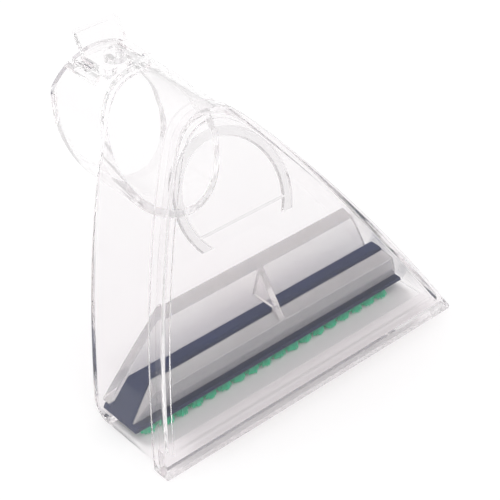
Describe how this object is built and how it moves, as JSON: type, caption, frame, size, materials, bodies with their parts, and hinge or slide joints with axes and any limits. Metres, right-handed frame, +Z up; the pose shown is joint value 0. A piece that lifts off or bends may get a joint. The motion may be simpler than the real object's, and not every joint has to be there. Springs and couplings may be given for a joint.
{
  "type": "upholstery wash tool",
  "caption": "Clear fan-shaped wash nozzle with a leaning window, a hose neck with a latch tab, and a brush insert behind its suction mouth.",
  "frame": {"origin": "centre of the neck's rim, on the socket's axis", "axes": "+Z up from the mouth, +Y along the socket's axis towards the hose, +X along the mouth"},
  "size_m": [0.1138, 0.1015, 0.0802],
  "materials": {
    "clear_plastic": "clear, glossy",
    "navy_plastic": "satin",
    "green_bristle": "matt"
  },
  "bodies": {
    "root": {"body_shell": "clear_plastic", "window_cover": "clear_plastic", "brush_holder": "clear_plastic", "brush_block": "navy_plastic", "bristle_tufts": "green_bristle"}
  },
  "joints": []
}
